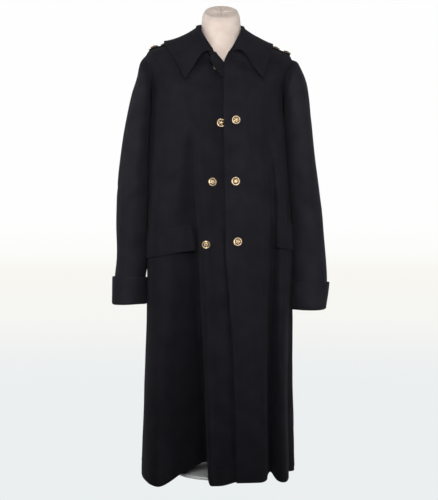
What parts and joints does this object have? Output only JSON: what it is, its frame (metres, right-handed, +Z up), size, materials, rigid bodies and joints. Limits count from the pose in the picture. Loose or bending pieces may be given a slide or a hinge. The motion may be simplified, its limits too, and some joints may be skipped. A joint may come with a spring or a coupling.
{
  "type": "military greatcoat on dress form",
  "caption": "Long double-breasted wool greatcoat with a wide turn-down collar, gilt buttons, pocket flaps and turn-back cuffs, worn by a limbless dress form on a pole and round base.",
  "frame": {"origin": "on the floor, under the middle of the dress form", "axes": "+Z up, the coat's front towards -Y, the wearer's right towards -X"},
  "size_m": [0.6193, 0.4129, 1.339],
  "materials": {
    "wool_melton": "near-black navy wool melton, matt, with a soft nap",
    "gilt_brass": "polished gilt",
    "jersey": "stretched cream jersey",
    "white_lacquer": "satin white lacquer on steel"
  },
  "bodies": {
    "root": {"front_right": "wool_melton", "front_left": "wool_melton", "back": "wool_melton", "sleeve_right": "wool_melton", "sleeve_left": "wool_melton", "cuff_right": "wool_melton", "cuff_left": "wool_melton", "collar": "wool_melton", "lapel_right": "wool_melton", "pocket_flap_right": "wool_melton", "pocket_flap_left": "wool_melton", "shoulder_strap_right": "wool_melton", "shoulder_strap_left": "wool_melton", "button_left_1": "gilt_brass", "button_left_2": "gilt_brass", "button_left_3": "gilt_brass", "button_right_1": "gilt_brass", "button_right_2": "gilt_brass", "button_right_3": "gilt_brass", "button_right_4": "gilt_brass", "stud_right_1": "gilt_brass", "stud_right_2": "gilt_brass", "stud_left_1": "gilt_brass", "stud_left_2": "gilt_brass", "form_bust": "jersey", "form_pole": "white_lacquer", "form_base": "white_lacquer"}
  },
  "joints": []
}
